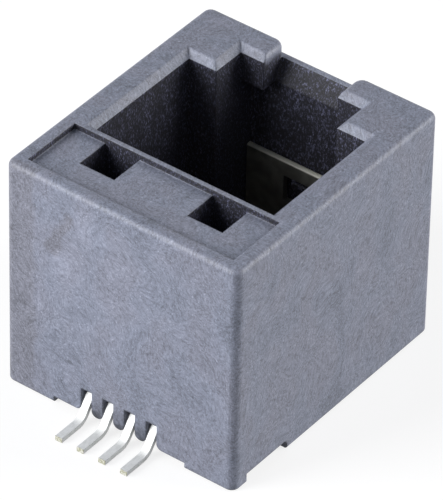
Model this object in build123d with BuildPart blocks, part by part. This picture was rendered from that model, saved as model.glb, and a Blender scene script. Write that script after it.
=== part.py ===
from build123d import *
import os
from math import cos, radians, sin, tan

# Vertical modular jack for surface mounting, six positions wide with four contacts.
# Millimetres. X runs across the plug, Y from the solder tails (front) to the latch (back),
# Z up out of the mouth. The origin is under the middle of the jack, on the board.

# Plug and the opening that takes it
plug_width = 9.65
plug_clearance = 0.28
plug_room = 7.35
plug_floor = 2.4
latch_slot_width = 7.0
latch_room = 1.9
latch_gap = 4.3
catch_height = 1.95
catch_depth = 0.95
lead_in = 0.35

# Housing walls and edges
housing_height = 12.95
side_wall = 1.595
contact_wall = 4.38
back_wall = 0.76
back_wall_edge = 0.3
gap_drop = 0.8
gap_corner_radius = 0.5
skin = 0.8
corner_radius = 0.45
top_edge_radius = 0.34
bottom_edge_radius = 0.15

# Sunk field in the top of the contact wall, and its two wells
pocket_lip = 0.69
pocket_side = 0.8
pocket_depth = 0.3
ridge = 0.25
well_width = 2.0
well_length = 1.9
well_depth = 4.7
well_spacing = 6.2

# Underside of the housing, and the comb round the solder tails
relief_width = 7.7
relief_height = 0.36
notch_start = 1.0
notch_length = 3.1
notch_height = 0.55
notch_bevel = 0.2
slot_top = 1.7
tooth_round = 0.3
core_out_wall = 1.0
core_out_rib = 0.4
core_out_back = 0.9
core_out_roof = 1.5
corner_core_wall = 0.8
corner_core_roof = 3.0

# Snap nub on the back wall, and its window in the insert
nub_width = 1.4
nub_height = 1.1
nub_top = 5.95
nub_proud = 0.1
nub_nose = 0.3
snap_wall = 0.33
snap_wall_top = 6.9
snap_wall_round = 0.13
snap_play = 0.1
window_side = 0.55
window_under = 0.3

# Contact strips
contact_count = 4
tail_pitch = 1.27
spring_pitch = 1.02
strip_width = 0.40
strip_thickness = 0.25
tail_reach = 2.08
foot_length = 1.28
riser_angle = 55
heel_radius = 0.76
entry_radius = 0.5
jog_start = 3.0
jog_height = 1.2
spring_bend = 1.15
spring_lean = 30
knee_height = 1.2
knee_radius = 1.0
spring_end_drop = 1.1

# Contact insert
insert_lift = 0.35
core_margin = 0.07
channel_roof = 1.4
head_room = 0.2
crown_cover = 0.2
fin_radius = 0.6
comb_floor = 0.4
comb_room = 0.5
base_core_depth = 1.0
base_core_wall = 0.9

# Clearances
fit = 0.05
strip_play = 0.05
strip_gap = 0.075
slot_room = 0.11
slot_play = 0.125

# Depths behind the front face, and the overall sizes that they add up to
opening_width = plug_width + 2 * plug_clearance
shoulder = contact_wall + plug_room
catch_face = shoulder + latch_room
back_inside = catch_face + catch_depth
housing_depth = back_inside + back_wall
housing_width = opening_width + 2 * side_wall
front_face = (tail_reach - housing_depth) / 2

# Heights above the board
catch_bottom = housing_height - catch_height
gap_floor = housing_height - gap_drop
pocket_floor = housing_height - pocket_depth
channel_top = pocket_floor - channel_roof
fin_top = channel_top - head_room
bend_height = fin_top - crown_cover - strip_thickness / 2 - spring_bend
jog_end = jog_start + jog_height
channel_step = jog_end + head_room
knee_start = plug_floor + knee_height
core_out_top = pocket_floor - well_depth - core_out_roof

# Corners of a solder tail on its centre line
rise = radians(riser_angle)
strip_depth = skin + strip_gap + strip_thickness / 2
foot_height = strip_thickness / 2
heel_depth = foot_length - tail_reach + heel_radius * tan(rise / 2)
entry_height = foot_height + (strip_depth - heel_depth) * tan(rise)

# Slot round each tail, with a roof that rises to clear the tail behind the skin
slot_width = strip_width + 2 * slot_room
riser_at_skin = entry_height - (strip_depth - skin) * tan(rise)
slot_roof = riser_at_skin + strip_thickness / 2 / cos(rise) + slot_play

# Course of a contact spring on its centre line
lean = radians(spring_lean)
bend_depth = strip_depth + spring_bend
lean_length = (bend_height + spring_bend * sin(lean) - knee_start) / cos(lean)
knee_depth = bend_depth + spring_bend * cos(lean) + lean_length * sin(lean)
spring_end_depth = knee_depth + knee_radius * (1 - cos(lean))
spring_end_length = knee_start - knee_radius * sin(lean) - plug_floor + spring_end_drop

# Core and fins of the insert, which stand in a channel in the contact wall
contact_gaps = contact_count - 1
core_radius = spring_bend - strip_thickness / 2 - strip_play
core_front = bend_depth - core_radius
core_foot_width = contact_gaps * tail_pitch + strip_width + 2 * core_margin
core_width = contact_gaps * spring_pitch + strip_width + 2 * core_margin
fin_thickness = spring_pitch - strip_width - 2 * strip_play

from_front = (Align.CENTER, Align.MIN)
from_back = (Align.CENTER, Align.MAX)


def behind_front(distance):
    """Y of the plane that lies this far behind the front face."""
    return front_face + distance


def across(pitch, count):
    """X of the planes that lie side by side at this pitch, about the middle."""
    return [(index - (count - 1) / 2) * pitch for index in range(count)]


with BuildPart() as housing:
    # Block with rounded upright corners and a softened lower edge.
    with BuildSketch(Plane.XY):
        with Locations((0, behind_front(housing_depth / 2))):
            RectangleRounded(housing_width, housing_depth, corner_radius)
    extrude(amount=housing_height)
    fillet(housing.faces().sort_by(Axis.Z)[0].edges(), bottom_edge_radius)

    # Plug opening and latch slot, straight through from mouth to underside.
    with BuildSketch(Plane.XY):
        with Locations((0, behind_front(contact_wall))):
            Rectangle(opening_width, plug_room, align=from_front)
            Rectangle(latch_slot_width, plug_room + latch_room, align=from_front)
    extrude(amount=housing_height, mode=Mode.SUBTRACT)

    # The latch gap runs out through the back, above the thin wall, with rounded ends.
    with BuildSketch(Plane.XY.offset(gap_floor)):
        with Locations((0, behind_front(catch_face))):
            Rectangle(latch_gap, housing_depth - catch_face, align=from_front)
        with Locations((0, behind_front(housing_depth - gap_corner_radius))):
            gap_exit = latch_gap + 2 * gap_corner_radius
            Rectangle(gap_exit, 2 * gap_corner_radius, align=from_front)
            with GridLocations(gap_exit, 0, 2, 1):
                Circle(gap_corner_radius, mode=Mode.SUBTRACT)
    extrude(amount=gap_drop, mode=Mode.SUBTRACT)

    # Round the top's outer edge: the round runs on along both sides of the gap.
    fillet(housing.faces().sort_by(Axis.Z)[-1].edges().sort_by(Axis.Y)[0], top_edge_radius)

    # Between the catches the back wall thins towards its top edge.
    with BuildSketch(Plane.YZ):
        with BuildLine():
            Polyline(
                (behind_front(catch_face), catch_bottom),
                (behind_front(back_inside), catch_bottom),
                (behind_front(housing_depth - back_wall_edge), gap_floor),
                (behind_front(catch_face), gap_floor),
                close=True,
            )
        make_face()
    extrude(amount=latch_gap / 2, both=True, mode=Mode.SUBTRACT)

    # Flare round the mouth, on the sides, the shoulders and the catches.
    with BuildSketch(Plane.XY.offset(housing_height - lead_in)):
        with Locations((0, behind_front(contact_wall + lead_in))):
            Rectangle(opening_width, plug_room - lead_in, align=from_front)
            Rectangle(latch_slot_width, plug_room + latch_room - lead_in, align=from_front)
    extrude(amount=lead_in, taper=-45, mode=Mode.SUBTRACT)

    # Room behind the two catches, where the latch snaps in.
    with BuildSketch(Plane.XY):
        with Locations((0, behind_front(catch_face))):
            Rectangle(latch_slot_width, catch_depth, align=from_front)
    extrude(amount=catch_bottom, mode=Mode.SUBTRACT)

    # Sunk field in the top, with two wells against its back edge.
    with BuildSketch(Plane.XY.offset(housing_height)):
        with Locations((0, behind_front(contact_wall - ridge))):
            pocket_length = contact_wall - ridge - pocket_lip
            Rectangle(housing_width - 2 * pocket_side, pocket_length, align=from_back)
    extrude(amount=-pocket_depth, mode=Mode.SUBTRACT)
    with BuildSketch(Plane.XY.offset(pocket_floor)):
        with Locations((0, behind_front(contact_wall - ridge))):
            with GridLocations(well_spacing, 0, 2, 1):
                Rectangle(well_width, well_length, align=from_back)
    extrude(amount=-well_depth, mode=Mode.SUBTRACT)

    # Channel for the insert's core, wider below, where the tails fan out.
    with BuildSketch(Plane.XY):
        with Locations((0, behind_front(skin))):
            Rectangle(core_foot_width + 2 * fit, contact_wall - skin, align=from_front)
    extrude(amount=channel_step, mode=Mode.SUBTRACT)
    with BuildSketch(Plane.XY):
        with Locations((0, behind_front(skin))):
            Rectangle(core_width + 2 * fit, contact_wall - skin, align=from_front)
    extrude(amount=channel_top, mode=Mode.SUBTRACT)

    # Comb of rounded teeth between the tails, and the relief under the middle.
    with BuildSketch(Plane.XZ.offset(-front_face)) as comb:
        Rectangle(relief_width, relief_height, align=from_front)
        with GridLocations(tail_pitch, 0, contact_count, 1):
            Rectangle(slot_width, slot_top, align=from_front)
        tooth_corners = comb.vertices().group_by(Axis.Y)[1].sort_by(Axis.X)[1:-1]
        fillet(tooth_corners, tooth_round)
    extrude(amount=-skin, mode=Mode.SUBTRACT)
    with BuildSketch(Plane.XZ.offset(-front_face)):
        Rectangle(relief_width, relief_height, align=from_front)
    extrude(amount=-housing_depth, mode=Mode.SUBTRACT)
    for x in across(tail_pitch, contact_count):
        with BuildSketch(Plane.YZ.offset(x)):
            with BuildLine():
                Polyline(
                    (behind_front(0), slot_top),
                    (behind_front(skin), slot_top),
                    (behind_front(skin), slot_roof),
                    close=True,
                )
            make_face()
        extrude(amount=slot_width / 2, both=True, mode=Mode.SUBTRACT)

    # Core-outs from below, in the contact wall and in the back corners.
    with BuildSketch(Plane.XY):
        core_out_inner = core_foot_width / 2 + fit + core_out_rib
        core_out_width = housing_width / 2 - core_out_wall - core_out_inner
        with Locations((0, behind_front(skin))):
            with GridLocations(2 * core_out_inner + core_out_width, 0, 2, 1):
                core_out_length = contact_wall - skin - core_out_back
                Rectangle(core_out_width, core_out_length, align=from_front)
    extrude(amount=core_out_top, mode=Mode.SUBTRACT)
    with BuildSketch(Plane.XY):
        corner_core_inner = latch_slot_width / 2 + corner_core_wall
        corner_core_width = housing_width / 2 - corner_core_wall - corner_core_inner
        with Locations((0, behind_front(housing_depth - corner_core_wall))):
            with GridLocations(2 * corner_core_inner + corner_core_width, 0, 2, 1):
                corner_core_length = housing_depth - shoulder - 2 * corner_core_wall
                Rectangle(corner_core_width, corner_core_length, align=from_back)
    extrude(amount=housing_height - corner_core_roof, mode=Mode.SUBTRACT)

    # Notch through each side wall, where the wall meets the board.
    for side in (-1, 1):
        with BuildSketch(Plane.YZ.offset(side * housing_width / 2)) as notch:
            with Locations((behind_front(notch_start), 0)):
                Rectangle(notch_length, notch_height, align=Align.MIN)
            chamfer(notch.vertices().group_by(Axis.Y)[-1].sort_by(Axis.X)[-1], notch_bevel)
        extrude(amount=-side * core_out_wall, mode=Mode.SUBTRACT)

    # Snap nub, ramped below so that the insert slides up over it.
    with BuildSketch(Plane.YZ):
        with BuildLine():
            nub_depth = back_inside - fit - snap_wall - nub_proud
            Polyline(
                (behind_front(housing_depth), nub_top),
                (behind_front(nub_depth), nub_top),
                (behind_front(nub_depth), nub_top - nub_nose),
                (behind_front(back_inside), nub_top - nub_height),
                (behind_front(housing_depth), nub_top - nub_height),
                close=True,
            )
        make_face()
    extrude(amount=nub_width / 2, both=True)

housing.part.label = "housing"

with BuildPart() as contact_insert:
    # Base under the plug, with a tongue in the latch slot and a foot under the core.
    with BuildSketch(Plane.XY.offset(insert_lift)):
        with Locations((0, behind_front(contact_wall + fit))):
            Rectangle(opening_width - 2 * fit, plug_room - 2 * fit, align=from_front)
            tongue_length = back_inside - contact_wall - 2 * fit
            Rectangle(latch_slot_width - 2 * fit, tongue_length, align=from_front)
        with Locations((0, behind_front(core_front))):
            Rectangle(core_foot_width, contact_wall + 2 * fit - core_front, align=from_front)
    extrude(amount=plug_floor - insert_lift)

    # Core with a round nose, over which the springs are bent.
    with BuildSketch(Plane.YZ):
        with Locations((behind_front(bend_depth), insert_lift)):
            Rectangle(2 * core_radius, bend_height - insert_lift, align=from_front)
        with Locations((behind_front(bend_depth), bend_height)):
            Circle(core_radius)
    extrude(amount=core_width / 2, both=True)
    with BuildSketch(Plane.YZ):
        with Locations((behind_front(bend_depth), insert_lift)):
            Rectangle(2 * core_radius, jog_end - insert_lift, align=from_front)
    extrude(amount=core_foot_width / 2, both=True)

    # Fins between the springs, cut back below, where the tails cross over.
    for x in across(spring_pitch, contact_count - 1):
        with BuildSketch(Plane.YZ.offset(x)) as fin:
            with BuildLine():
                Polyline(
                    (behind_front(core_front), plug_floor),
                    (behind_front(core_front), channel_step),
                    (behind_front(skin + fit), channel_step),
                    (behind_front(skin + fit), fin_top),
                    (behind_front(contact_wall - fit), fin_top),
                    (behind_front(contact_wall - fit), plug_floor),
                    close=True,
                )
            make_face()
            fillet(fin.vertices().group_by(Axis.Y)[-1], fin_radius)
        extrude(amount=fin_thickness / 2, both=True)

    # Comb slots in the floor, in which the ends of the springs move.
    with BuildSketch(Plane.XY.offset(insert_lift + comb_floor)):
        with Locations((0, behind_front(contact_wall + fit))):
            with GridLocations(spring_pitch, 0, contact_count, 1):
                comb_length = spring_end_depth + comb_room - contact_wall - fit
                Rectangle(strip_width + 2 * strip_play, comb_length, align=from_front)
    extrude(amount=plug_floor - insert_lift - comb_floor, mode=Mode.SUBTRACT)

    # Core-outs under the rear of the base.
    with BuildSketch(Plane.XY.offset(insert_lift)):
        with Locations((0, behind_front(shoulder - fit - base_core_wall))):
            with GridLocations(opening_width / 2 - fit, 0, 2, 1):
                base_core_width = opening_width / 2 - fit - 2 * base_core_wall
                base_core_start = spring_end_depth + comb_room + base_core_wall
                base_core_length = shoulder - fit - base_core_wall - base_core_start
                Rectangle(base_core_width, base_core_length, align=from_back)
    extrude(amount=base_core_depth, mode=Mode.SUBTRACT)

    # Snap wall behind the latch slot, with a rounded top.
    with BuildSketch(Plane.YZ) as snap_section:
        with Locations((behind_front(back_inside - fit), insert_lift)):
            Rectangle(snap_wall, snap_wall_top - insert_lift, align=(Align.MAX, Align.MIN))
        fillet(snap_section.vertices().group_by(Axis.Y)[-1], snap_wall_round)
    extrude(amount=latch_slot_width / 2 - fit, both=True)

    # Window in the snap wall, for the nub.
    with BuildSketch(Plane.XZ.offset(-behind_front(back_inside - fit))):
        with Locations((0, nub_top + snap_play)):
            window_height = nub_height + snap_play + window_under
            Rectangle(nub_width + 2 * window_side, window_height, align=from_back)
    extrude(amount=snap_wall, mode=Mode.SUBTRACT)

contact_insert.part.label = "contact_insert"

os.makedirs("parts", exist_ok=True)
export_step(housing.part, "parts/housing.step")
export_step(contact_insert.part, "parts/contact_insert.step")

contact_places = zip(across(tail_pitch, contact_count), across(spring_pitch, contact_count))
for number, (tail_x, spring_x) in enumerate(contact_places, start=1):
    with BuildPart() as contact:
        # Solder tail: foot on the board, riser through the slot, upright behind the skin.
        with BuildLine(Plane.YZ.offset(tail_x)) as tail:
            FilletPolyline(
                (behind_front(-tail_reach), foot_height),
                (behind_front(heel_depth), foot_height),
                (behind_front(strip_depth), entry_height),
                (behind_front(strip_depth), jog_start),
                radius=(heel_radius, entry_radius),
            )
        with BuildSketch(Plane(origin=tail.line @ 0, x_dir=(1, 0, 0), z_dir=tail.line % 0)):
            Rectangle(strip_width, strip_thickness)
        sweep()

        # Jog from the tail pitch to the spring pitch.
        with BuildSketch(Plane.XZ.offset(-behind_front(strip_depth))):
            with BuildLine():
                Polyline(
                    (tail_x - strip_width / 2, jog_start),
                    (tail_x + strip_width / 2, jog_start),
                    (spring_x + strip_width / 2, jog_end),
                    (spring_x - strip_width / 2, jog_end),
                    close=True,
                )
            make_face()
        extrude(amount=strip_thickness / 2, both=True)

        # Spring: up the channel, over the core, down through the opening into its slot.
        with BuildLine(Plane.YZ.offset(spring_x)) as spring:
            upright = Line(
                (behind_front(strip_depth), jog_end),
                (behind_front(strip_depth), bend_height),
            )
            crown = JernArc(upright @ 1, upright % 1, spring_bend, spring_lean - 180)
            blade = Line(crown @ 1, crown @ 1 + (crown % 1) * lean_length)
            knee = JernArc(blade @ 1, blade % 1, knee_radius, -spring_lean)
            Line(knee @ 1, knee @ 1 + (knee % 1) * spring_end_length)
        with BuildSketch(Plane(origin=upright @ 0, x_dir=(1, 0, 0), z_dir=(0, 0, 1))):
            Rectangle(strip_width, strip_thickness)
        sweep()

    contact.part.label = f"contact_{number}"
    export_step(contact.part, f"parts/contact_{number}.step")
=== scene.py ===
"""Looks of a vertical modular jack: finishes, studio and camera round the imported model."""

import logging
import math
from dataclasses import dataclass, field
from enum import Enum
from typing import Any, Iterable, Mapping, Optional, Sequence, Union

import bpy
from mathutils import Matrix, Vector


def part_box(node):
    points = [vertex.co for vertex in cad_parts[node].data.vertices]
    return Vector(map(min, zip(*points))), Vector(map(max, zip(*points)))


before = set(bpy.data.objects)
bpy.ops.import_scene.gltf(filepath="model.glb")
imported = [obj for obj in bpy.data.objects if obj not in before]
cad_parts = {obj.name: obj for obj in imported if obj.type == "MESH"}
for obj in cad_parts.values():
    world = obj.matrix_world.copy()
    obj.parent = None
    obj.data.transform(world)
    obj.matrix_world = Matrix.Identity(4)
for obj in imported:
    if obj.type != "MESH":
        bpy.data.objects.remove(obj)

log = logging.getLogger("modular_jack")
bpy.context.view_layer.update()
MM = 0.001
BEVEL_SAMPLES = 6

Number = Union[int, float]
Span = tuple[float, float]
Triple = tuple[float, float, float]
Colour = Triple
WHITE: Colour = (1.0, 1.0, 1.0)


class Kind(Enum):
    """Shader node types by the words that this script uses for them."""

    MATH = "ShaderNodeMath"
    VECTOR_MATH = "ShaderNodeVectorMath"
    MIX = "ShaderNodeMix"
    MAP_RANGE = "ShaderNodeMapRange"
    NOISE = "ShaderNodeTexNoise"
    COORDINATES = "ShaderNodeTexCoord"
    GEOMETRY = "ShaderNodeNewGeometry"
    SPLIT = "ShaderNodeSeparateXYZ"
    JOIN = "ShaderNodeCombineXYZ"
    BUMP = "ShaderNodeBump"
    BEVEL = "ShaderNodeBevel"
    TURN = "ShaderNodeVectorRotate"
    PRINCIPLED = "ShaderNodeBsdfPrincipled"
    DIFFUSE = "ShaderNodeBsdfDiffuse"
    EMISSION = "ShaderNodeEmission"
    ADD_SHADER = "ShaderNodeAddShader"
    MIX_SHADER = "ShaderNodeMixShader"
    LIGHT_PATH = "ShaderNodeLightPath"
    BACKGROUND = "ShaderNodeBackground"
    MATERIAL_OUTPUT = "ShaderNodeOutputMaterial"
    WORLD_OUTPUT = "ShaderNodeOutputWorld"


@dataclass(frozen=True)
class Noise:
    """A noise's cells for each millimetre, its octaves, the strength of the fine ones, and its twist."""

    per_mm: float
    detail: float
    roughness: float
    distortion: float = 0.0


@dataclass(frozen=True)
class Flow:
    """A slow noise that shifts places, by its cells for each millimetre and its reach."""

    per_mm: float
    reach_mm: float


class Value:
    """A number socket in a node tree, on which arithmetic adds Math nodes."""

    def __init__(self, graph: "Graph", socket: bpy.types.NodeSocket) -> None:
        """Wrap one output socket.

        Args:
            graph: The graph that new Math nodes go into.
            socket: The output socket that carries the number.
        """
        self.graph = graph
        self.socket = socket

    def math(self, operation: str, *operands: Union["Value", Number]) -> "Value":
        """Add one Math node.

        Args:
            operation: The Math node's operation.
            *operands: Its inputs in order, as values or plain numbers.

        Returns:
            The node's result.
        """
        node = self.graph.add(Kind.MATH, {"operation": operation}, dict(enumerate(operands)))
        return Value(self.graph, node.outputs[0])

    def __add__(self, other: Union["Value", Number]) -> "Value":
        """Return self + other."""
        return self.math("ADD", self, other)

    def __radd__(self, other: Number) -> "Value":
        """Return other + self."""
        return self.math("ADD", other, self)

    def __sub__(self, other: Union["Value", Number]) -> "Value":
        """Return self - other."""
        return self.math("SUBTRACT", self, other)

    def __rsub__(self, other: Number) -> "Value":
        """Return other - self."""
        return self.math("SUBTRACT", other, self)

    def __mul__(self, other: Union["Value", Number]) -> "Value":
        """Return self * other."""
        return self.math("MULTIPLY", self, other)

    def __rmul__(self, other: Number) -> "Value":
        """Return other * self."""
        return self.math("MULTIPLY", other, self)

    def __abs__(self) -> "Value":
        """Return the value without its sign."""
        return self.math("ABSOLUTE", self)

    def fraction(self) -> "Value":
        """Return what is left of the value above its whole number."""
        return self.math("FRACT", self)

    def root(self) -> "Value":
        """Return the square root of the value."""
        return self.math("SQRT", self)

    def either(self, other: "Value") -> "Value":
        """Return the greater of two masks."""
        return self.math("MAXIMUM", self, other)

    def between(self, low: float, high: float) -> "Value":
        """Return low where this mask is 0 and high where it is 1."""
        return self * (high - low) + low

    def rises(self, start: Number, end: Number) -> "Value":
        """Return a smooth mask that is 0 at start and 1 at end.

        Args:
            start: Where the mask is 0. It may be above end, for a mask that falls.
            end: Where the mask is 1.

        Returns:
            The mask.
        """
        limits = {"Value": self, "From Min": start, "From Max": end}
        node = self.graph.add(Kind.MAP_RANGE, {"interpolation_type": "SMOOTHSTEP"}, limits)
        return Value(self.graph, node.outputs["Result"])


Feed = Union[Value, bpy.types.NodeSocket, Number, Sequence[float]]


class Graph:
    """The node tree of one material or of the world."""

    def __init__(self, tree: bpy.types.NodeTree) -> None:
        """Start on an empty tree.

        Args:
            tree: The tree, whose nodes are cleared.
        """
        self.tree = tree
        tree.nodes.clear()

    def add(
        self,
        kind: Kind,
        settings: Optional[Mapping[str, Any]] = None,
        inputs: Optional[Mapping[Union[str, int], Feed]] = None,
    ) -> bpy.types.Node:
        """Add one node.

        Args:
            kind: The node's type.
            settings: Its own settings, which are set first.
            inputs: Its sockets by name or place, each with a value or a link.

        Returns:
            The new node.
        """
        node = self.tree.nodes.new(kind.value)
        for name, setting in (settings or {}).items():
            setattr(node, name, setting)
        for key, feed in (inputs or {}).items():
            self._feed(node.inputs[key], feed)
        return node

    def _feed(self, target: bpy.types.NodeSocket, feed: Feed) -> None:
        """Link a socket to an input, or set the input's own value.

        Args:
            target: The input.
            feed: A wrapped value, a socket, a number or a vector or colour.
        """
        if isinstance(feed, Value):
            self.tree.links.new(feed.socket, target)
        elif isinstance(feed, bpy.types.NodeSocket):
            self.tree.links.new(feed, target)
        elif target.type == "RGBA" and len(feed) == 3:
            target.default_value = (*feed, 1.0)
        else:
            target.default_value = feed

    def mix(self, mask: Feed, low: Feed, high: Feed, blend: str = "MIX") -> bpy.types.NodeSocket:
        """Mix two colours.

        Args:
            mask: How far the result goes from low to high.
            low: The colour where the mask is 0.
            high: The colour where the mask is 1.
            blend: The Mix node's blend type.

        Returns:
            The colour.
        """
        colour_factor, colour_a, colour_b, colour_result = 0, 6, 7, 2
        settings = {"data_type": "RGBA", "blend_type": blend}
        inputs = {colour_factor: mask, colour_a: low, colour_b: high}
        return self.add(Kind.MIX, settings, inputs).outputs[colour_result]

    def scaled(self, vector: Feed, factors: Sequence[float]) -> bpy.types.NodeSocket:
        """Multiply a vector by one factor for each axis.

        Args:
            vector: The vector.
            factors: The factors along X, Y and Z.

        Returns:
            The scaled vector.
        """
        node = self.add(Kind.VECTOR_MATH, {"operation": "MULTIPLY"}, {0: vector, 1: factors})
        return node.outputs[0]

    def turned(self, vector: Feed, angles: Sequence[float]) -> bpy.types.NodeSocket:
        """Turn a vector about the three axes.

        Args:
            vector: The vector.
            angles: The angles in degrees.

        Returns:
            The turned vector.
        """
        radians = tuple(math.radians(angle) for angle in angles)
        node = self.add(Kind.TURN, {"rotation_type": "EULER_XYZ"}, {"Vector": vector, "Rotation": radians})
        return node.outputs[0]

    def axes(self, vector: Feed) -> tuple[Value, Value, Value]:
        """Split a vector.

        Args:
            vector: The vector.

        Returns:
            Its X, Y and Z.
        """
        node = self.add(Kind.SPLIT, inputs={0: vector})
        x, y, z = (Value(self, output) for output in node.outputs)
        return x, y, z

    def facing(self) -> tuple[Value, Value, Value]:
        """Return the X, Y and Z of the direction in which the surface faces."""
        return self.axes(self.add(Kind.GEOMETRY).outputs["Normal"])

    def millimetres(self) -> bpy.types.NodeSocket:
        """Return the place on the object, in millimetres of the row frame."""
        place = self.add(Kind.COORDINATES).outputs["Object"]
        return self.scaled(place, (1 / MM, 1 / MM, 1 / MM))

    def warped(self, place: Feed, flow: Flow) -> bpy.types.NodeSocket:
        """Shift a place by a slow noise, so that what is drawn there looks like flow.

        Args:
            place: The place in millimetres.
            flow: The noise. Its middle shifts a place by half its reach along each axis.

        Returns:
            The shifted place.
        """
        slow = {"Vector": place, "Scale": flow.per_mm, "Detail": 1.0}
        drift = self.add(Kind.NOISE, inputs=slow).outputs["Color"]
        inputs = {0: drift, 1: (flow.reach_mm,) * 3, 2: place}
        return self.add(Kind.VECTOR_MATH, {"operation": "MULTIPLY_ADD"}, inputs).outputs[0]

    def noise(self, vector: Feed, noise: Noise) -> Value:
        """Add a Noise texture.

        Args:
            vector: Where it is read, in millimetres.
            noise: Its measures.

        Returns:
            The noise, about 0.5.
        """
        inputs = {
            "Vector": vector,
            "Scale": noise.per_mm,
            "Detail": noise.detail,
            "Roughness": noise.roughness,
            "Distortion": noise.distortion,
        }
        return Value(self, self.add(Kind.NOISE, inputs=inputs).outputs[0])

    def bump(self, height: Value, depth_mm: float, edge_mm: float) -> bpy.types.NodeSocket:
        """Add relief to a surface whose edges are slightly broken.

        Args:
            height: The relief, in shares of its depth.
            depth_mm: The relief's depth in millimetres.
            edge_mm: The radius of the edges in millimetres.

        Returns:
            The bent normal.
        """
        soft = self.add(Kind.BEVEL, {"samples": BEVEL_SAMPLES}, {"Radius": edge_mm * MM}).outputs[0]
        inputs = {"Distance": depth_mm * MM, "Height": height, "Normal": soft}
        return self.add(Kind.BUMP, inputs=inputs).outputs[0]


def new_graph(name: str) -> tuple[bpy.types.Material, Graph]:
    """Make a material with an empty graph.

    Args:
        name: The material's name.

    Returns:
        The material and its graph.
    """
    material = bpy.data.materials.new(name)
    material.use_nodes = True
    return material, Graph(material.node_tree)


def close_graph(graph: Graph, shader: bpy.types.Node) -> None:
    """Link a finished shader to the material's output.

    Args:
        graph: The material's graph.
        shader: The last shader node.
    """
    graph.add(Kind.MATERIAL_OUTPUT, inputs={"Surface": shader.outputs[0]})


@dataclass(frozen=True)
class ShadedInnerWalls:
    """The space, in millimetres of the row frame, whose walls and deep ledges count as inner ones and take
    painted shade.
    """

    half_width: float
    front: float
    back: float
    gap_front: float
    gap_lip: float
    deep: float = 11.5
    deep_fade: float = 0.3
    wall_fade: float = 0.02
    lip_fade: float = 0.2
    lip_depth: float = 0.4
    upright: Span = (0.62, 0.45)
    downward: Span = (-0.2, -0.5)

    def mask(self, graph: Graph, place: Feed) -> Value:
        """Add the mask of the painted shade on the inner walls and on faces that look down.

        Args:
            graph: The material's graph.
            place: The place on the object in millimetres.

        Returns:
            1 on the inner walls and on what faces the board, and 0 elsewhere.
        """
        x, y, z = graph.axes(place)
        _, _, up = graph.facing()
        in_shade = abs(up).rises(*self.upright).either(z.rises(self.deep, self.deep - self.deep_fade))
        across = abs(x).rises(self.half_width, self.half_width - self.wall_fade)
        from_front = y.rises(self.front, self.front + self.wall_fade)
        to_back = y.rises(self.back, self.back - self.wall_fade)
        in_gap = y.rises(self.gap_front, self.gap_front + self.lip_fade)
        lip = in_gap * z.rises(self.gap_lip - self.lip_depth, self.gap_lip)
        below = up.rises(*self.downward)
        # painted shade: inner walls, deep ledges and down-facing faces take the dark inner colour
        return (in_shade * across * from_front * to_back * (1.0 - lip)).either(below)


@dataclass(frozen=True)
class Comb:
    """The teeth between the slots at the front face's foot, in millimetres of the row frame, which take
    painted shade towards the board.
    """

    half_width: float
    height: float
    side_fade: float = 0.3

    def mask(self, graph: Graph, place: Feed) -> Value:
        """Add the mask of the painted shade on the teeth, which grows towards their round ends.

        Args:
            graph: The material's graph.
            place: The place on the object in millimetres.

        Returns:
            1 at the ends of the teeth and 0 elsewhere.
        """
        x, _, z = graph.axes(place)
        beside = abs(x).rises(self.half_width, self.half_width - self.side_fade)
        return z.rises(self.height, 0.0) * beside


@dataclass(frozen=True)
class TopRim:
    """The flat rim round the housing's top, which takes a little painted shade and is darker than its
    edges.
    """

    height: float
    depths: Span = (0.2, 0.05)
    level: Span = (0.7, 0.95)

    def mask(self, graph: Graph, place: Feed) -> Value:
        """Add the mask of the painted shade on the rim.

        Args:
            graph: The material's graph.
            place: The place on the object in millimetres.

        Returns:
            1 on the flat of the rim and 0 elsewhere.
        """
        _, _, z = graph.axes(place)
        _, _, up = graph.facing()
        return z.rises(*(self.height - depth for depth in self.depths)) * up.rises(*self.level)


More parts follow.
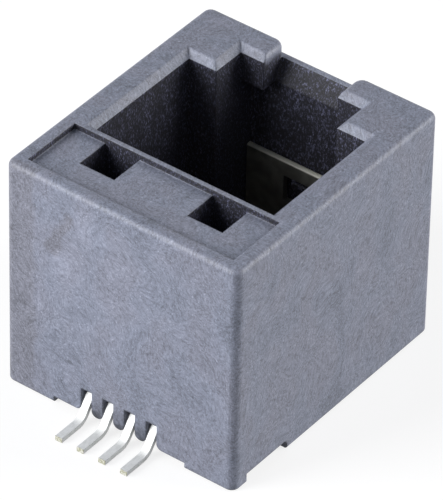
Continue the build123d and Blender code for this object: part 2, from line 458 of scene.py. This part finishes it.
@dataclass(frozen=True)
class FrontFace:
    """Marks that the flow of the plastic left on the front face, in millimetres of the row frame.

    A dull margin runs down the left edge. A dull streak leans beside it and is narrower at its top.
    Pale blots lie round the streak, and ripples round a swirl to its right. A haze lies over the
    middle. Each blot is placed to the right of the streak's middle and above it, with its radius.
    """

    y: float
    left: float
    depths: Span = (0.5, 0.3)
    drift: Flow = Flow(1.1, 0.7)
    margin_width: float = 1.7
    margin_fade: float = 0.2
    margin_shade: float = 0.11
    streak_x: float = -3.5
    streak_z: float = 10.15
    streak_lean: float = 22.8
    streak_taper: float = 0.12
    streak_ends: Span = (1.624, 1.218)
    streak_sides: Span = (0.48, 0.2)
    streak_shade: float = 0.21
    blots: tuple[Triple, Triple] = ((1.5, 1.1, 1.3), (0.3, -1.7, 1.2))
    blot_core: float = 0.2
    blot_shade: float = 0.2
    swirl_x: float = 0.3
    swirl_z: float = 10.5
    swirl_radius: float = 2.3
    swirl_band: Span = (1.0, 0.3)
    swirl_side: Span = (0.5, -1.0)
    ripple_pitch: float = 0.42
    ripple_line: Span = (0.25, 0.05)
    ripple_shade: float = 0.15
    haze_x: float = -1.6
    haze_z: float = 8.8
    haze_radius: float = 7.0
    haze_shade: float = 0.11

    def marks(self, graph: Graph, place: Feed) -> tuple[Value, Value]:
        """Add the face's marks.

        Args:
            graph: The material's graph.
            place: The place on the object in millimetres.

        Returns:
            How dull the colour is, from 0 to 1, and how much paler or darker the face is.
        """
        _, y, _ = graph.axes(place)
        on_face = y.rises(*(self.y + depth for depth in self.depths))
        x, _, z = graph.axes(graph.warped(place, self.drift))
        shift = self.drift.reach_mm / 2
        x, z = x - shift, z - shift
        streak, pale = self._streak(x - self.streak_x, z - self.streak_z)
        margin_end = self.left + self.margin_width
        margin = x.rises(margin_end + self.margin_fade, margin_end - self.margin_fade)
        ripples = self._ripples(x - self.swirl_x, z - self.swirl_z)
        haze = self._blot(x - self.haze_x, z - self.haze_z, self.haze_radius)
        shade = haze * self.haze_shade + pale * self.blot_shade - margin * self.margin_shade
        shade = shade - streak * self.streak_shade - ripples * self.ripple_shade
        return on_face * margin.either(streak), on_face * shade

    def _streak(self, right: Value, up: Value) -> tuple[Value, Value]:
        """Add the masks of the streak and of the pale blots round it.

        Args:
            right: How far a place is to the right of the streak's middle.
            up: How far it is above it.

        Returns:
            1 on the streak, and 1 in the middle of each blot.
        """
        lean = math.radians(self.streak_lean)
        along = right * math.sin(lean) + up * math.cos(lean)
        across = right * math.cos(lean) - up * math.sin(lean)
        wedge = abs(across) + along * self.streak_taper
        streak = abs(along).rises(*self.streak_ends) * wedge.rises(*self.streak_sides)
        first, second = (self._blot(right - x, up - z, radius) for x, z, radius in self.blots)
        return streak, first.either(second)

    def _ripples(self, right: Value, up: Value) -> Value:
        """Add the mask of the ripples on the swirl's left side.

        Args:
            right: How far a place is to the right of the swirl's middle.
            up: How far it is above it.

        Returns:
            1 on the lines of the ripples and 0 elsewhere.
        """
        radius = self._distance(right, up)
        rings = abs((radius * (1 / self.ripple_pitch)).fraction() - 0.5).rises(*self.ripple_line)
        band = abs(radius - self.swirl_radius).rises(*self.swirl_band)
        return rings * band * right.rises(*self.swirl_side)

    def _blot(self, right: Value, up: Value, radius: float) -> Value:
        """Return a round mask that is 1 where both offsets are 0 and 0 from the radius on."""
        return self._distance(right, up).rises(radius, self.blot_core * radius)

    @staticmethod
    def _distance(right: Value, up: Value) -> Value:
        """Return how far a place on the face is from the point that two offsets are taken from."""
        return (right * right + up * up).root()


@dataclass(frozen=True)
class MouldedPlastic:
    """Glass-filled housing plastic: hazy outside; on its inner walls a dark painted shade with fine
    fibres.
    """

    name: str = "housing_plastic"
    cool: Colour = (0.216, 0.235, 0.304)
    warm: Colour = (0.222, 0.234, 0.298)
    dull: Colour = (0.222, 0.229, 0.283)
    # painted shade: the dark colour of the inner walls and of faces that look down
    inner: Colour = (0.008, 0.008, 0.013)
    fibre: Colour = (0.20, 0.21, 0.34)
    gloss: float = 0.43
    roughness: float = 0.46
    inner_roughness: float = 0.62
    flow: Flow = Flow(0.35, 2.4)
    stroke_angles: Triple = (35.0, 30.0, 0.0)
    stroke_shape: Triple = (1.0, 1.0, 0.3)
    stroke_noise: Noise = Noise(9.0, 3.0, 0.6)
    stroke_shade: float = 1.35
    grain_noise: Noise = Noise(13.0, 2.0, 0.7)
    grain_shade: float = 1.0
    cloud_noise: Noise = Noise(2.0, 3.0, 0.55, 1.2)
    cloud_shade: float = 0.55
    patch_shape: Triple = (1.0, 1.0, 0.5)
    patch_noise: Noise = Noise(0.6, 2.0, 0.5)
    patch_shade: float = 0.95
    dulled_patches: Span = (0.46, 0.62)
    dulling: float = 0.2
    warm_patches: Span = (0.38, 0.64)
    fleck_noise: Noise = Noise(9.0, 1.0, 0.5)
    fleck_span: Span = (0.66, 0.74)
    fleck_shade: float = 0.45
    line_flow: Flow = Flow(0.25, 3.0)
    line_noise: Noise = Noise(0.35, 1.0, 0.4)
    line_count: float = 26.0
    line_width: Span = (0.16, 0.02)
    line_shade: float = 0.1
    comb_blotches: Span = (0.36, 0.6)
    comb_weights: Span = (0.4, 1.0)
    comb_shade: float = 0.9
    rim_shade: float = 0.085
    fibre_shape: Triple = (1.0, 1.0, 0.5)
    fibre_noise: Noise = Noise(12.0, 3.0, 0.7)
    fibre_span: Span = (0.48, 0.74)
    drawn_shape: Triple = (1.0, 1.0, 0.1)
    drawn_noise: Noise = Noise(3.2, 2.0, 0.6)
    drawn_span: Span = (0.42, 0.72)
    drawn_weights: Span = (0.55, 1.15)
    stroke_relief: float = 0.6
    grain_relief: float = 0.4
    relief_mm: float = 0.035
    edge_mm: float = 0.15

    def material(self, walls: ShadedInnerWalls, comb: Comb, rim: TopRim, face: FrontFace) -> bpy.types.Material:
        """Make the plastic.

        Args:
            walls: Where the surface counts as an inner wall and takes painted shade.
            comb: Where the teeth are, which take painted shade towards the board.
            rim: The flat rim of the top, which takes a little painted shade.
            face: The marks on the front face.

        Returns:
            The material.
        """
        material, graph = new_graph(self.name)
        place = graph.millimetres()
        inner = walls.mask(graph, place)
        dull, marks = face.marks(graph, place)
        flow = graph.warped(place, self.flow)
        lay = graph.scaled(graph.turned(flow, self.stroke_angles), self.stroke_shape)
        strokes = graph.noise(lay, self.stroke_noise)
        grain = graph.noise(place, self.grain_noise)
        patches = graph.noise(graph.scaled(flow, self.patch_shape), self.patch_noise)
        clouds = graph.noise(flow, self.cloud_noise)
        fine = (strokes - 0.5) * self.stroke_shade + (grain - 0.5) * self.grain_shade
        broad = (clouds - 0.5) * self.cloud_shade + (patches - 0.5) * self.patch_shade
        broad = broad - patches.rises(*self.dulled_patches) * self.dulling
        flecks = graph.noise(place, self.fleck_noise).rises(*self.fleck_span) * self.fleck_shade
        shade = fine + broad + flecks + marks - self._flow_lines(graph, place) + 1.0
        # painted shade: the teeth darken in blotches towards the board
        shade_blotches = clouds.rises(*self.comb_blotches).between(*self.comb_weights)
        shade = shade * (1.0 - comb.mask(graph, place) * shade_blotches * self.comb_shade)
        # painted shade: the flat of the top rim is darkened a little
        shade = shade * (1.0 - rim.mask(graph, place) * self.rim_shade)
        grey = graph.add(Kind.JOIN, inputs={0: shade, 1: shade, 2: shade}).outputs[0]
        tint = graph.mix(patches.rises(*self.warm_patches), self.cool, self.warm)
        outer = graph.mix(1.0, graph.mix(dull, tint, self.dull), grey, "MULTIPLY")
        relief = strokes * self.stroke_relief + grain * self.grain_relief
        inputs = {
            # painted shade: the inner mask mixes in the dark inner colour
            "Base Color": graph.mix(inner, outer, self._inner_colour(graph, place)),
            "Specular IOR Level": self.gloss,
            "Roughness": inner.between(self.roughness, self.inner_roughness),
            "Normal": graph.bump(relief, self.relief_mm, self.edge_mm),
        }
        close_graph(graph, graph.add(Kind.PRINCIPLED, inputs=inputs))
        return material

    def _flow_lines(self, graph: Graph, place: Feed) -> Value:
        """Add the thin lines that the flow of the plastic left.

        Args:
            graph: The material's graph.
            place: The place on the object in millimetres.

        Returns:
            How much darker they make the surface.
        """
        swirls = graph.noise(graph.warped(place, self.line_flow), self.line_noise)
        lines = abs((swirls * self.line_count).fraction() - 0.5).rises(*self.line_width)
        return lines * self.line_shade

    def _inner_colour(self, graph: Graph, place: Feed) -> bpy.types.NodeSocket:
        """Add the colour of the inner walls: a dark painted shade, with fibres that the mould has drawn
        out in strips.

        Args:
            graph: The material's graph.
            place: The place on the object in millimetres.

        Returns:
            The colour.
        """
        fibres = graph.noise(graph.scaled(place, self.fibre_shape), self.fibre_noise)
        drawn = graph.noise(graph.scaled(place, self.drawn_shape), self.drawn_noise)
        weights = drawn.rises(*self.drawn_span).between(*self.drawn_weights)
        return graph.mix(fibres.rises(*self.fibre_span) * weights, self.inner, self.fibre)


@dataclass(frozen=True)
class SmoothPlastic:
    """Smooth dark plastic of the contact insert, with a painted highlight on its snap wall's top."""

    name: str = "insert_plastic"
    light: Colour = (0.145, 0.145, 0.135)
    dark: Colour = (0.085, 0.085, 0.080)
    # painted highlight: the pale colour of the snap wall's top
    painted_highlight: Colour = (0.88, 0.87, 0.76)
    roughness: float = 0.34
    cloud_flow: Flow = Flow(0.5, 1.0)
    cloud_noise: Noise = Noise(1.1, 3.0, 0.5)
    cloud_span: Span = (0.35, 0.65)
    grain_noise: Noise = Noise(16.0, 2.0, 0.5)
    highlight_below: Span = (0.25, 0.1)
    highlight_above: Span = (0.1, 0.05)
    highlight_front: float = 0.1
    highlight_slopes: Span = (0.15, 0.6)
    highlight_across: Span = (-3.5, 3.0)
    highlight_weights: Span = (0.4, 1.0)
    relief_mm: float = 0.004
    edge_mm: float = 0.05

    def material(self, rim_top: float, rim_front: float) -> bpy.types.Material:
        """Make the plastic.

        Args:
            rim_top: Height of the snap wall, whose top takes a pale painted highlight, in millimetres.
            rim_front: Y of the snap wall's front, in millimetres.

        Returns:
            The material.
        """
        material, graph = new_graph(self.name)
        place = graph.millimetres()
        x, y, z = graph.axes(place)
        _, _, up = graph.facing()
        clouds = graph.noise(graph.warped(place, self.cloud_flow), self.cloud_noise)
        grain = graph.noise(place, self.grain_noise)
        # painted highlight on the snap wall's top, weaker towards the left as painted shade
        from_below = z.rises(*(rim_top - depth for depth in self.highlight_below))
        level = from_below * z.rises(*(rim_top + height for height in self.highlight_above))
        behind = y.rises(rim_front - self.highlight_front, rim_front)
        across = x.rises(*self.highlight_across).between(*self.highlight_weights)
        rim = level * behind * up.rises(*self.highlight_slopes) * across
        body = graph.mix(clouds.rises(*self.cloud_span), self.dark, self.light)
        inputs = {
            "Base Color": graph.mix(rim, body, self.painted_highlight),
            "Roughness": self.roughness,
            "Normal": graph.bump(grain, self.relief_mm, self.edge_mm),
        }
        close_graph(graph, graph.add(Kind.PRINCIPLED, inputs=inputs))
        return material


@dataclass(frozen=True)
class PlatedStrip:
    """Bronze strip with matt tin on the solder tail and gold on the spring."""

    name: str = "contact_metal"
    tin: Colour = (0.83, 0.84, 0.83)
    tin_dull: Colour = (0.66, 0.67, 0.65)
    gold: Colour = (0.86, 0.62, 0.28)
    cut_metal: Colour = (0.44, 0.44, 0.32)
    cut_rim: Colour = (0.74, 0.73, 0.66)
    sheared_span: Span = (0.5, 0.9)
    cloud_noise: Noise = Noise(3.0, 3.0, 0.6, 0.4)
    cloud_span: Span = (0.4, 0.7)
    drawn_shape: Triple = (1.0, 0.15, 0.15)
    drawn_noise: Noise = Noise(18.0, 2.0, 0.6)
    drawn_span: Span = (0.45, 0.65)
    cloud_dulls: float = 0.4
    drawn_dulls: float = 0.4
    side_dulls: float = 0.2
    gold_fade: float = 0.4
    cut_depths: Span = (0.05, 0.02)
    torn_noise: Noise = Noise(7.0, 2.0, 0.6)
    torn_span: Span = (0.44, 0.6)
    tin_metallic: float = 0.15
    side_metallic: float = 0.5
    least_roughness: float = 0.48
    cloud_roughness: float = 0.14
    side_roughness: float = 0.12
    relief_mm: float = 0.003
    edge_mm: float = 0.02

    def material(self, tail_end: float, gold_start: float) -> bpy.types.Material:
        """Make the metal.

        Args:
            tail_end: Y of the cut ends of the tails, in millimetres.
            gold_start: Height at which the gold starts, in millimetres.

        Returns:
            The material.
        """
        material, graph = new_graph(self.name)
        place = graph.millimetres()
        _, y, z = graph.axes(place)
        side, _, _ = graph.facing()
        sheared = abs(side).rises(*self.sheared_span)
        clouds = graph.noise(place, self.cloud_noise)
        drawn = graph.noise(graph.scaled(place, self.drawn_shape), self.drawn_noise)
        dull = clouds.rises(*self.cloud_span) * self.cloud_dulls
        dull = dull + drawn.rises(*self.drawn_span) * self.drawn_dulls + sheared * self.side_dulls
        tin = graph.mix(dull, self.tin, self.tin_dull)
        gilt = z.rises(gold_start, gold_start + self.gold_fade)
        plated = graph.mix(gilt, tin, self.gold)
        cut = y.rises(*(tail_end + depth for depth in self.cut_depths))
        torn = graph.noise(place, self.torn_noise).rises(*self.torn_span)
        uneven = clouds * self.cloud_roughness + sheared * self.side_roughness
        inputs = {
            "Base Color": graph.mix(cut, plated, graph.mix(torn, self.cut_metal, self.cut_rim)),
            "Metallic": (sheared * self.side_metallic + self.tin_metallic).either(gilt),
            "Roughness": uneven + self.least_roughness,
            "Normal": graph.bump(drawn, self.relief_mm, self.edge_mm),
        }
        close_graph(graph, graph.add(Kind.PRINCIPLED, inputs=inputs))
        return material


def dress(nodes: Iterable[str], material: bpy.types.Material) -> None:
    """Give CAD nodes a material.

    Args:
        nodes: The nodes' names.
        material: The material for each of their slots.
    """
    for node in nodes:
        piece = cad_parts[node]
        piece.data.materials.clear()
        piece.data.materials.append(material)
        log.info("%s is dressed in %s", node, material.name)


@dataclass
class Housing:
    """The moulded housing, with its sizes in millimetres."""

    node: str = "housing"
    contacts: tuple[str, ...] = ("contact_1", "contact_4")
    outer_wall: float = 0.4
    back_wall_edge: float = 0.3
    back_wall_margin: float = 0.06
    gap_front: float = 7.0
    gap_lip: float = 0.3
    comb_height: float = 2.0
    comb_margin: float = 0.3
    plastic: MouldedPlastic = field(default_factory=MouldedPlastic)

    def build(self) -> None:
        """Dress the housing, with painted shade that makes its inner walls and down-facing faces darker
        than its outside.
        """
        low, high = (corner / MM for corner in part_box(self.node))
        walls = ShadedInnerWalls(
            half_width=high.x - self.outer_wall,
            front=low.y + self.outer_wall,
            back=high.y - self.back_wall_edge + self.back_wall_margin,
            gap_front=self.gap_front,
            gap_lip=high.z - self.gap_lip,
        )
        outer_contact = max(abs(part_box(node)[side].x) for node in self.contacts for side in (0, 1)) / MM
        comb = Comb(half_width=outer_contact + self.comb_margin, height=self.comb_height)
        face = FrontFace(y=low.y, left=low.x)
        dress([self.node], self.plastic.material(walls, comb, TopRim(high.z), face))


@dataclass
class ContactInsert:
    """The moulding that carries the contacts, with its sizes in millimetres."""

    node: str = "contact_insert"
    snap_wall: float = 0.33
    snap_wall_top: float = 6.9
    plastic: SmoothPlastic = field(default_factory=SmoothPlastic)

    def build(self) -> None:
        """Dress the insert, whose snap wall stands at its back."""
        snap_wall_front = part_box(self.node)[1].y / MM - self.snap_wall
        dress([self.node], self.plastic.material(self.snap_wall_top, snap_wall_front))


@dataclass
class Contacts:
    """The four contact strips, with the height in millimetres at which their gold starts."""

    count: int = 4
    gold_start: float = 4.5
    metal: PlatedStrip = field(default_factory=PlatedStrip)

    def build(self) -> None:
        """Dress the strips."""
        names = [f"contact_{number}" for number in range(1, self.count + 1)]
        tail_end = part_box(names[0])[0].y / MM
        dress(names, self.metal.material(tail_end, self.gold_start))


def direction(azimuth: float, elevation: float) -> Vector:
    """Point from the object towards a viewer or lamp.

    Args:
        azimuth: Degrees round from the front, towards the right.
        elevation: Degrees above the floor.

    Returns:
        The unit vector.
    """
    turn, lift = math.radians(azimuth), math.radians(elevation)
    level = math.cos(lift)
    return Vector((math.sin(turn) * level, -math.cos(turn) * level, math.sin(lift)))


@dataclass(frozen=True)
class SoftBox:
    """A square lamp that looks at the jack, with its sizes in metres."""

    name: str
    azimuth: float
    elevation: float
    light: float
    tint: Colour = WHITE
    distance: float = 0.30
    width: float = 0.20

    def place(self, target: Vector) -> None:
        """Add the lamp to the scene.

        Args:
            target: The point that it is aimed at.
        """
        lamp = bpy.data.lights.new(self.name, "AREA")
        lamp.shape = "SQUARE"
        lamp.size = self.width
        lamp.color = self.tint
        lamp.energy = self.light * (math.pi * self.distance) ** 2
        holder = bpy.data.objects.new(self.name, lamp)
        bpy.context.scene.collection.objects.link(holder)
        away = direction(self.azimuth, self.elevation)
        holder.location = target + away * self.distance
        holder.rotation_euler = away.to_track_quat("Z", "Y").to_euler()


@dataclass(frozen=True)
class Paper:
    """White paper that reflects a part of its light, which takes the shadow, and gives the rest."""

    matt: float
    glow: float

    def shader(self, graph: Graph) -> bpy.types.NodeSocket:
        """Add the paper's shader.

        Args:
            graph: The graph that it goes into.

        Returns:
            The shader.
        """
        reflecting = graph.add(Kind.DIFFUSE, inputs={"Color": (self.matt,) * 3}).outputs[0]
        glowing = graph.add(Kind.EMISSION, inputs={"Color": WHITE, "Strength": self.glow}).outputs[0]
        return graph.add(Kind.ADD_SHADER, inputs={0: reflecting, 1: glowing}).outputs[0]


@dataclass
class Studio:
    """White floor, soft lamps and the camera of the photograph, with sizes in metres."""

    azimuth: float = 36.54
    elevation: float = 38.61
    roll: float = 1.256
    distance: float = 280.9 * MM
    target: Vector = field(default_factory=lambda: Vector((0.061, 1.004, 6.273)) * MM)
    focal_pixels: float = 6030.8
    image_height: int = 500
    sensor_mm: float = 36.0
    nearest: float = 0.01
    floor_size: float = 1.2
    floor_gap: float = 0.02 * MM
    floor_light: float = 0.32
    mirrored: Paper = Paper(matt=0.35, glow=0.6)
    shown: Paper = Paper(matt=0.25, glow=0.8)
    world_light: float = 0.15
    world_tint: Colour = (0.78, 0.87, 1.0)
    lamps: tuple[SoftBox, ...] = (
        SoftBox("key_lamp", azimuth=-37.0, elevation=23.0, light=1.5),
        SoftBox("side_lamp", azimuth=130.0, elevation=16.0, light=1.12, tint=(1.0, 0.985, 0.96)),
    )

    def build(self) -> None:
        """Set up the camera, the floor, the world and the lamps."""
        self._camera()
        self._floor()
        self._world()
        for lamp in self.lamps:
            lamp.place(self.target)
        bpy.context.scene.view_settings.view_transform = "Standard"

    def _camera(self) -> None:
        """Add the camera at the photograph's angle."""
        back = direction(self.azimuth, self.elevation)
        turn, roll = math.radians(self.azimuth), math.radians(self.roll)
        level_right = Vector((math.cos(turn), math.sin(turn), 0.0))
        level_up = back.cross(level_right)
        right = level_right * math.cos(roll) + level_up * math.sin(roll)
        up = level_up * math.cos(roll) - level_right * math.sin(roll)
        lens = bpy.data.cameras.new("photo_camera")
        lens.sensor_fit = "VERTICAL"
        lens.sensor_height = self.sensor_mm
        lens.lens = self.focal_pixels / self.image_height * self.sensor_mm
        lens.clip_start = self.nearest
        camera = bpy.data.objects.new("photo_camera", lens)
        bpy.context.scene.collection.objects.link(camera)
        turned = Matrix((right, up, back)).transposed().to_4x4()
        camera.matrix_world = Matrix.Translation(self.target + back * self.distance) @ turned
        bpy.context.scene.camera = camera

    def _floor(self) -> None:
        """Add the white floor, which glows for the camera and keeps a faint shadow."""
        half = self.floor_size / 2
        mesh = bpy.data.meshes.new("floor")
        corners = [(-half, -half, 0.0), (half, -half, 0.0), (half, half, 0.0), (-half, half, 0.0)]
        mesh.from_pydata(corners, [], [(0, 1, 2, 3)])
        floor = bpy.data.objects.new("floor", mesh)
        bpy.context.scene.collection.objects.link(floor)
        floor.location.z = -self.floor_gap
        material, graph = new_graph("white_floor")
        lit = graph.add(Kind.DIFFUSE, inputs={"Color": (self.floor_light,) * 3}).outputs[0]
        mirrored, shown = self.mirrored.shader(graph), self.shown.shader(graph)
        camera, other = self._seen(graph)
        bounced = graph.add(Kind.MIX_SHADER, inputs={0: other, 1: lit, 2: mirrored}).outputs[0]
        close_graph(graph, graph.add(Kind.MIX_SHADER, inputs={0: camera, 1: bounced, 2: shown}))
        mesh.materials.append(material)

    def _world(self) -> None:
        """Give the world a soft even light, and white where it is seen or mirrored."""
        world = bpy.data.worlds.new("studio_world")
        world.use_nodes = True
        bpy.context.scene.world = world
        graph = Graph(world.node_tree)
        camera, other = self._seen(graph)
        seen = camera.either(other)
        strength = seen.between(self.world_light, 1.0)
        colour = graph.mix(seen, self.world_tint, WHITE)
        sky = graph.add(Kind.BACKGROUND, inputs={"Color": colour, "Strength": strength})
        graph.add(Kind.WORLD_OUTPUT, inputs={"Surface": sky.outputs[0]})

    @staticmethod
    def _seen(graph: Graph) -> tuple[Value, Value]:
        """Add the masks of the rays that see the background and that mirror it.

        Args:
            graph: The graph that they go into.

        Returns:
            1 for camera rays, and 1 for glossy and transmitted rays.
        """
        path = graph.add(Kind.LIGHT_PATH)
        names = ("Is Camera Ray", "Is Glossy Ray", "Is Transmission Ray")
        camera, glossy, through = (Value(graph, path.outputs[name]) for name in names)
        return camera, glossy.either(through)


def main() -> None:
    """Build the looks of every piece, then the studio."""
    logging.basicConfig(level=logging.INFO, format="%(message)s")
    for piece in (Housing(), ContactInsert(), Contacts(), Studio()):
        piece.build()
        log.info("%s is built", type(piece).__name__)


if __name__ == "__main__":
    main()
